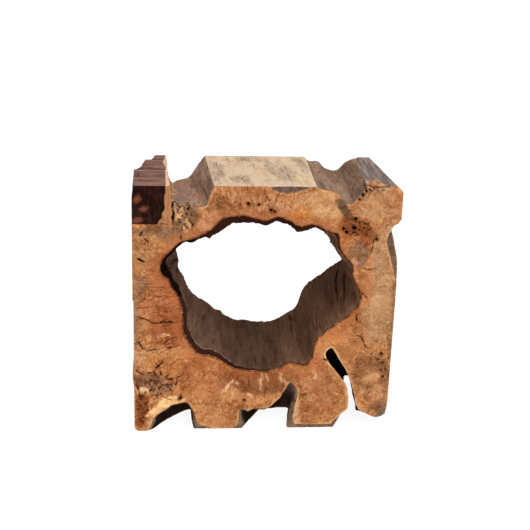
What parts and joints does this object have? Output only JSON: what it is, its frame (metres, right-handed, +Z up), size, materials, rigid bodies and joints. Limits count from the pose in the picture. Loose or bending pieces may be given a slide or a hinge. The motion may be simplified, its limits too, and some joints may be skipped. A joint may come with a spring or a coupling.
{
  "type": "tamarind wood slice",
  "caption": "Thick slice of a hollow tree trunk, sawn square round its fluted outside and standing on its lower cut, with a large open hollow right through it.",
  "frame": {"origin": "middle of the bounding box's bottom face, on the floor that the slice stands on", "axes": "+Z up, -Y out of the front cut that the picture shows, +X to the right seen from the front"},
  "size_m": [0.58, 0.26, 0.583],
  "materials": {
    "tamarind": "sawn and sanded, unvarnished spalted wood, with dark weathered natural surfaces"
  },
  "bodies": {
    "root": {"tamarind_slice": "tamarind"}
  },
  "joints": []
}
